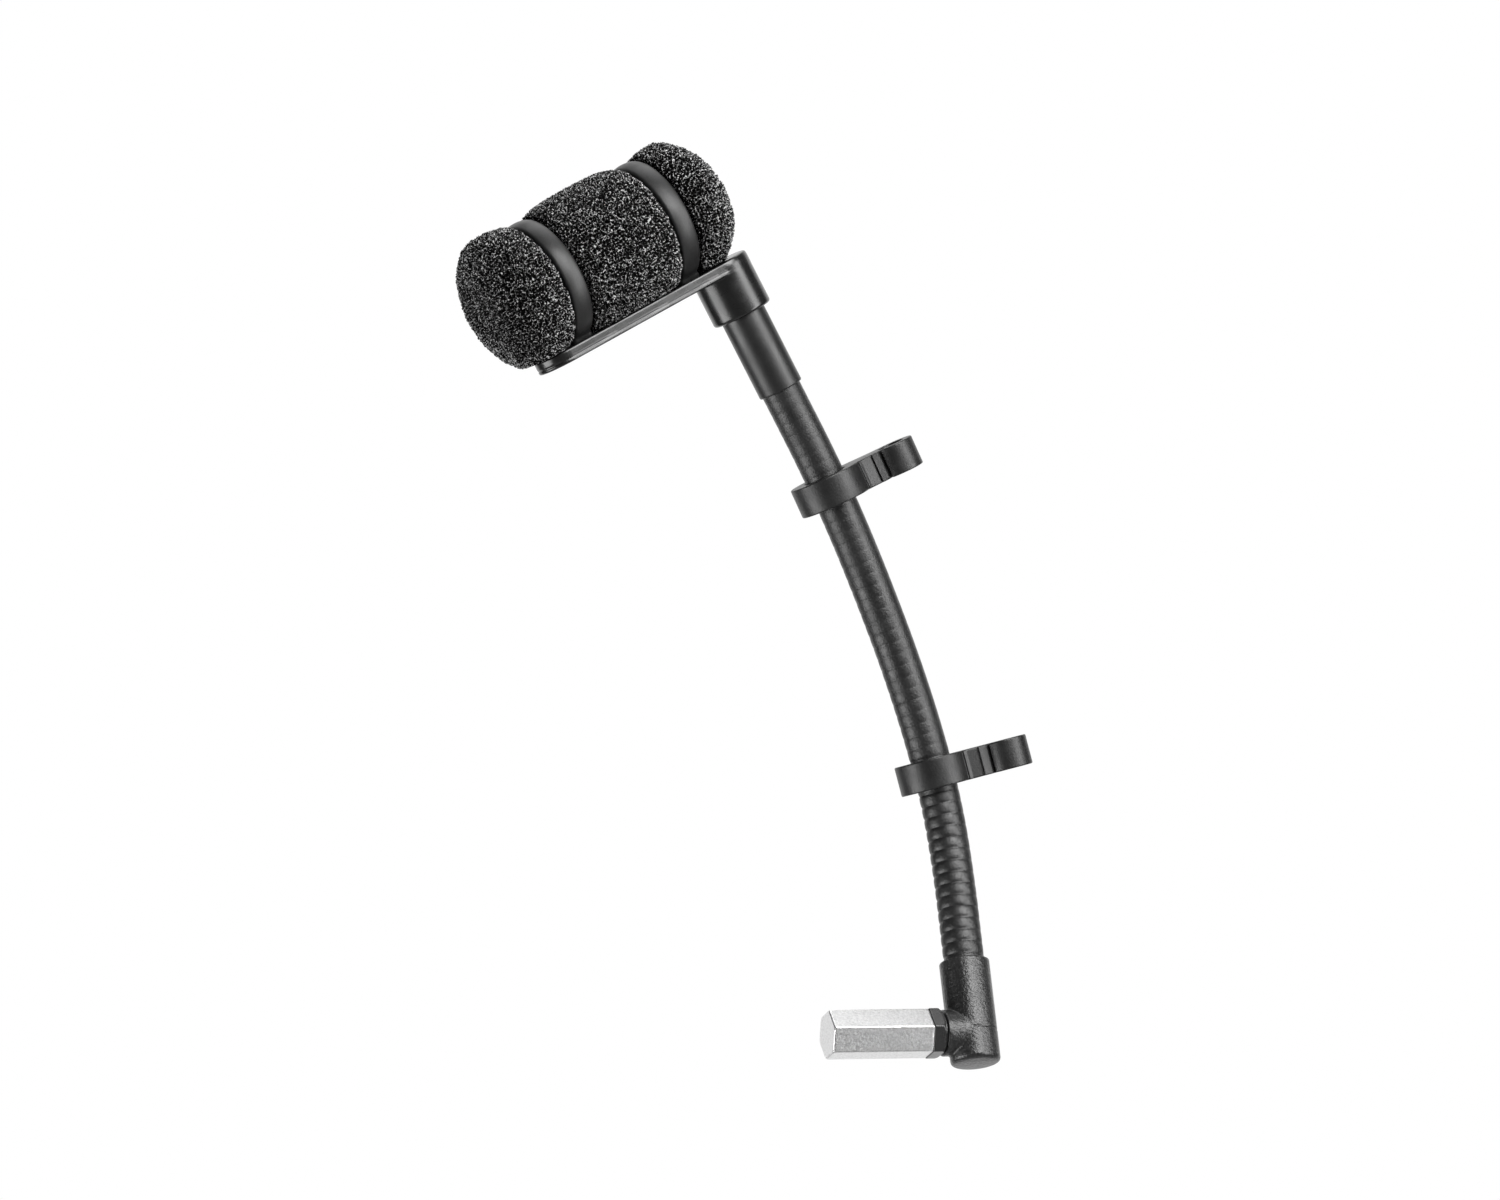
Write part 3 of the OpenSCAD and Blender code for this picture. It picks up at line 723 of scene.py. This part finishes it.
def cell_values(points, pitch, seed):
    """Distances to the nearest and second nearest centre of a jittered grid, and the nearest cell's number.

    The distances are in pitches. The number is random, from 0 to 1, and the same for every point of a cell.
    """
    scaled = points / pitch
    base = np.floor(scaled).astype(np.int64)
    first, second = np.full(len(points), 9.0), np.full(len(points), 9.0)
    chosen = np.zeros(len(points))
    for shift in np.ndindex(3, 3, 3):
        cell = base + np.array(shift) - 1
        hashed = np.bitwise_xor.reduce(cell * CELL_PRIMES, axis=1) ^ seed * SEED_PRIME
        randoms = []
        for _ in range(4):
            hashed = (hashed ^ (hashed >> 13)) * MIX_PRIME & 0xFFFFFFFF
            hashed ^= hashed >> 16
            randoms.append((hashed & 0xFFFF) / 65535)
        centre = cell + 0.1 + 0.8 * np.stack(randoms[:3], 1)
        distance = np.linalg.norm(scaled - centre, axis=1)
        nearer = distance < first
        second = np.where(nearer, first, np.minimum(second, distance))
        chosen = np.where(nearer, randoms[3], chosen)
        first = np.where(nearer, distance, first)
    return first, second, chosen


def foam_outline():
    """(x, radius) points along the foam's outline, from the bore's rear rim round the outside to the front.

    LOBE_RISE is how steeply a lobe swells out of a hoop's groove, and the ROUND pairs shape the two ends.
    """
    def lobe(r, t):
        return GROOVE_R + (r - GROOVE_R) * np.sin(math.pi * t) ** LOBE_RISE

    def end_lobe(r, end_r, bend, t):
        far = end_r + (r - end_r) * np.maximum(0, 1 - np.abs(2 * t - 1) ** bend[0]) ** bend[1]
        return np.where(t < 0.5, lobe(r, np.clip(t, 0, 0.5)), far)

    half_w = HOOP_W / 2 + HOOP_GAP
    t = (1 - np.cos(np.linspace(0, math.pi, 241))) / 2
    spans = [
        (FOAM_REAR_X, REAR_HOOP_X - half_w, end_lobe(REAR_LOBE_R, REAR_END_R, REAR_ROUND, 1 - t)),
        (REAR_HOOP_X + half_w, FRONT_HOOP_X - half_w, lobe(MIDDLE_LOBE_R, t)),
        (FRONT_HOOP_X + half_w, FOAM_FRONT_X, end_lobe(FRONT_LOBE_R, FRONT_END_R, FRONT_ROUND, t)),
    ]
    pole_r = 0.15
    line = [(FOAM_REAR_X, MIC_BORE_R)]
    for low, high, radii in spans:
        line += list(zip(low + (high - low) * t, radii))
    return np.array(line + [(FOAM_FRONT_X, pole_r)])


def spread_evenly(line, step):
    """The same polyline with points step apart."""
    length = np.concatenate([[0], np.cumsum(np.linalg.norm(np.diff(line, axis=0), axis=1))])
    wanted = np.linspace(0, length[-1], int(length[-1] / step))
    return np.stack([np.interp(wanted, length, line[:, i]) for i in range(2)], 1)


def outward_of(skin):
    """Unit normals of the foam's outline, smoothed so that they turn gently round its corners."""
    tangent = np.gradient(skin, axis=0)
    tangent /= np.linalg.norm(tangent, axis=1)[:, None]
    for _ in range(6):
        tangent[1:-1] = (tangent[:-2] + 2 * tangent[1:-1] + tangent[2:]) / 4
    tangent /= np.linalg.norm(tangent, axis=1)[:, None]
    return np.stack([-tangent[:, 1], tangent[:, 0]], 1)


def foam_pores(points):
    """How far each point of the foam's skin stands out, and how deep it lies in a pore, from 0 to 1.

    A strand is where two cells are about equally near. Some cells of a coarser grid are sunk further.
    """
    pore_pitch, pore_seed, strand_w = 0.54, 3, 0.3
    break_pitch, break_seed, break_depth = 0.75, 8, 0.6
    first, second, chosen = cell_values(points, pore_pitch, pore_seed)
    pit = np.clip((second - first) / strand_w, 0, 1) ** 1.1
    height = -pit * (0.4 + 0.4 * chosen)
    first, second, broken = cell_values(points, break_pitch, break_seed)
    return height - break_depth * np.clip(1 - first, 0, 1) * broken, pit


def rest_on_carrier(points):
    """Flattens the foam where it lies on the plate and on the hoops' feet."""
    plate_gap, foot_gap, foot_half_w, foot_half_l = 0.08, 1.7, 2.3, 4.8
    points[..., 2] = np.maximum(points[..., 2], SOCKET_H + plate_gap)
    for hoop_x in (REAR_HOOP_X, FRONT_HOOP_X):
        over_foot = (np.abs(points[..., 0] - hoop_x) < foot_half_w) & (np.abs(points[..., 1]) < foot_half_l)
        points[over_foot, 2] = np.maximum(points[over_foot, 2], SOCKET_H + foot_gap)


def foam_windscreen(material):
    """Foam barrel with real pores: strands stand at the surface and the pores between them are sunk."""
    step = 0.14
    columns = int(2 * math.pi * FRONT_LOBE_R / step)
    turn = np.linspace(0, 2 * math.pi, columns, endpoint=False)
    around = np.stack([0 * turn, np.sin(turn), np.cos(turn)], 1)

    def swept(profile):
        """(x, radius) pairs swept round the foam's axis, one ring for each pair."""
        return profile[:, None, :1] * np.array([1, 0, 0]) + profile[:, None, 1:] * around

    skin = spread_evenly(foam_outline(), step)
    rings = swept(skin)
    height, pit = foam_pores(rings.reshape(-1, 3))
    rings = rings + swept(outward_of(skin)) * height.reshape(len(skin), columns, 1)
    rings[..., 2] += FOAM_AXIS_Z
    rest_on_carrier(rings)
    bore_depths = (MIC_L, 24, 12)
    bore = swept(np.array([(FOAM_REAR_X + depth, MIC_BORE_R) for depth in bore_depths]))
    bore[..., 2] += FOAM_AXIS_Z
    poles = (FOAM_REAR_X + MIC_L, 0, FOAM_AXIS_Z), (FOAM_FRONT_X, 0, FOAM_AXIS_Z)
    points, faces = closed_by_poles(np.concatenate([bore, rings]), *poles)
    faces = [face[::-1] for face in faces]
    piece = make_piece("foam_windscreen", points, faces, material, carrier_place)
    # The strand value sets where the foam material paints glints (strands) and shade (pores); the bore and poles
    # get 0, the darkest painted shade.
    strand = np.concatenate([np.zeros(len(bore) * columns), 1 - pit, [0, 0]])
    attribute = piece.data.attributes.new("strand", "FLOAT", "POINT")
    attribute.data.foreach_set("value", strand.astype(np.float32))
    give(piece, "carrier", "foam", "foam_barrel")
    return piece


# ---------- build ----------

neck_rubber = moulded_plastic("neck_rubber", (0.002, 0.009), (0.36, 0.46), bump_mm=0.06)
satin_black = moulded_plastic("satin_black", (0.003, 0.006), (0.22, 0.3), bump_mm=0.006)
sleeve_black = moulded_plastic("sleeve_black", (0.003, 0.007), (0.36, 0.44), bump_mm=0.008)
clip_black = moulded_plastic("clip_black", (0.002, 0.007), (0.38, 0.48), bump_mm=0.03, specular=0.45)
elbow_black = moulded_plastic("elbow_black", (0.004, 0.02), (0.28, 0.38), bump_mm=0.11, grain_mm=0.42)
collar_black = moulded_plastic("collar_black", (0.003, 0.01), (0.24, 0.32), bump_mm=0.01, specular=0.8)
hoop_black = moulded_plastic("hoop_black", (0.004, 0.01), (0.42, 0.5), bump_mm=0.012)
mic_black = moulded_plastic("mic_black", (0.015, 0.03), (0.35, 0.45), bump_mm=0.006)
seal_rubber = moulded_plastic("seal_rubber", (0.008, 0.018), (0.6, 0.7), bump_mm=0.01, grain_mm=0.2)
cream_plastic = moulded_plastic("cream_plastic", (0.6, 0.75), (0.35, 0.5), bump_mm=0.004, grain_mm=0.5)
aluminium = metal("aluminium", (0.5, 0.5, 0.5), (0.92, 0.92, 0.92), (0.28, 0.4), 0.36, 0.035)
steel = metal("steel", (0.35, 0.35, 0.34), (0.6, 0.6, 0.58), (0.25, 0.4))
brass = metal("brass", (0.55, 0.42, 0.18), (0.8, 0.66, 0.34), (0.22, 0.38))
gold_film = metal("gold_film", (0.7, 0.6, 0.35), (0.85, 0.75, 0.5), (0.12, 0.2))
board_green = metal("board_green", (0.01, 0.09, 0.03), (0.02, 0.16, 0.06), (0.3, 0.45), 0.8, metallic=0.0)
wire_mesh = metal("wire_mesh", (0.2, 0.2, 0.2), (0.5, 0.5, 0.5), (0.3, 0.45), 0.15, 0.05)

hidden_finish = {
    "coil_steel": steel, "ferrule_steel": steel, "screw_steel": steel, "seal_rubber": seal_rubber,
    "mic_black": mic_black, "mesh_steel": wire_mesh, "capsule_brass": brass, "diaphragm_film": gold_film,
    "insulator": cream_plastic, "backplate_metal": steel, "board": board_green, "chip": mic_black,
    "pins_brass": brass,
}
slot_of = {part["node"]: part["material_slot"] for part in frame["record"]["subparts"]}

spigot_bar(aluminium)
spigot_collar(collar_black)
elbow_shell(elbow_black)
neck_skins(neck_rubber)
cable_clip("lower_clip", clip_black)
cable_clip("upper_clip", clip_black)
sleeve_tube(sleeve_black)
carrier_arm(satin_black)
foam_hoop("hoop_rear", "rear_hoop", REAR_HOOP_X, hoop_black)
foam_hoop("hoop_front", "front_hoop", FRONT_HOOP_X, hoop_black)
foam_windscreen(foam_material())
for node_name, node in frame["nodes"].items():
    finish = hidden_finish.get(slot_of[node_name])
    if finish is not None:
        node.data.materials.clear()
        node.data.materials.append(finish)

# ---------- camera, light and floor ----------

CAMERA_RIGHT = Vector((0.9476, -0.3021, -0.104))
CAMERA_BACK = Vector((-0.3195, -0.8926, -0.318))
CAMERA_DISTANCE = 1.4
CAMERA_LENS_MM = 211.4
AIM_HEIGHT, AIM_RIGHT, AIM_UP = 50, -6.9, 21.2
LIGHTS_CENTRE = Vector((0.01, 0, 0.06))

view_back = CAMERA_BACK.normalized()
view_right = (CAMERA_RIGHT - view_back * view_back.dot(CAMERA_RIGHT)).normalized()
view_up = view_back.cross(view_right)
view_centre = (Vector((0, 0, AIM_HEIGHT)) + view_right * AIM_RIGHT + view_up * AIM_UP) * MM


def add_camera():
    """A long lens at the photo's angle, which the hexagon, the hoops and the neck's curve gave together."""
    camera = bpy.data.objects.new("camera", bpy.data.cameras.new("camera"))
    bpy.context.scene.collection.objects.link(camera)
    camera.matrix_world = Matrix((view_right, view_up, view_back)).transposed().to_4x4()
    camera.location = view_centre + view_back * CAMERA_DISTANCE
    camera.data.lens = CAMERA_LENS_MM
    camera.data.clip_start = 0.05
    camera.data.clip_end = 60
    bpy.context.scene.camera = camera


def add_softbox(name, side, lift, width, height, power, distance=0.9):
    """A soft light facing the object, side degrees to the camera's right and lift degrees up.

    Its width, height and distance are in metres.
    """
    data = bpy.data.lights.new(name, "AREA")
    data.shape = "RECTANGLE"
    data.size, data.size_y, data.energy = width, height, power
    lamp = bpy.data.objects.new(name, data)
    bpy.context.scene.collection.objects.link(lamp)
    a, e = math.radians(side), math.radians(lift)
    out = (view_right * math.sin(a) + view_back * math.cos(a)) * math.cos(e) + view_up * math.sin(e)
    lamp.location = LIGHTS_CENTRE + out * distance
    lamp.visible_camera = False
    lamp.rotation_mode = "QUATERNION"
    lamp.rotation_quaternion = out.to_track_quat("Z", "Y")


def add_world(shown, lit):
    """White surroundings for the camera, and a dimmer white for the light that they give."""
    world = bpy.data.worlds.new("studio")
    world.use_nodes = True
    bpy.context.scene.world = world
    tree = world.node_tree
    background = tree.nodes["Background"]
    background.inputs["Color"].default_value = (1, 1, 1, 1)
    path = tree.nodes.new("ShaderNodeLightPath")
    strength = tree.nodes.new("ShaderNodeMapRange")
    strength.inputs["To Min"].default_value = lit
    strength.inputs["To Max"].default_value = shown
    tree.links.new(path.outputs["Is Camera Ray"], strength.inputs["Value"])
    tree.links.new(strength.outputs["Result"], background.inputs["Strength"])


def add_floor():
    """Pale floor far under the object, which stands free of it as in a catalogue picture.

    Its own glow shows to the camera only, so that the far floor is as pale as the near one.
    """
    half, height, glow, patch_mm = 12.0, -1.6, 0.95, 400.0
    mesh = bpy.data.meshes.new("floor")
    corners = [(-half, -half, height), (half, -half, height), (half, half, height), (-half, half, height)]
    mesh.from_pydata(corners, [], [(0, 1, 2, 3)])
    material, shader = new_material("floor_paint", roughness=0.9)
    patches = noise_of(material, patch_mm)
    finish_material(material, shader, ramp_of(material, patches, [(0.3, 0.84), (0.7, 0.88)]))
    shader.inputs["Emission Color"].default_value = (0.9, 0.9, 0.9, 1)
    seen = add_node(material, "ShaderNodeLightPath").outputs["Is Camera Ray"]
    material.node_tree.links.new(span_of(material, seen, 0, glow, 0, 1), shader.inputs["Emission Strength"])
    mesh.materials.append(material)
    floor = bpy.data.objects.new("floor", mesh)
    bpy.context.scene.collection.objects.link(floor)


add_camera()
add_floor()
add_world(shown=1.0, lit=0.07)
add_softbox("softbox_right", side=62, lift=8, width=0.36, height=0.75, power=8)
add_softbox("softbox_left", side=-66, lift=-20, width=0.6, height=0.45, power=7)
add_softbox("softbox_front", side=29, lift=37, width=0.58, height=0.48, power=12)
add_softbox("softbox_top", side=10, lift=106, width=0.7, height=0.7, power=4.2)
add_softbox("backdrop", side=180, lift=-2, width=3.1, height=2.9, power=34, distance=1.3)
bpy.context.scene.view_settings.view_transform = "Standard"
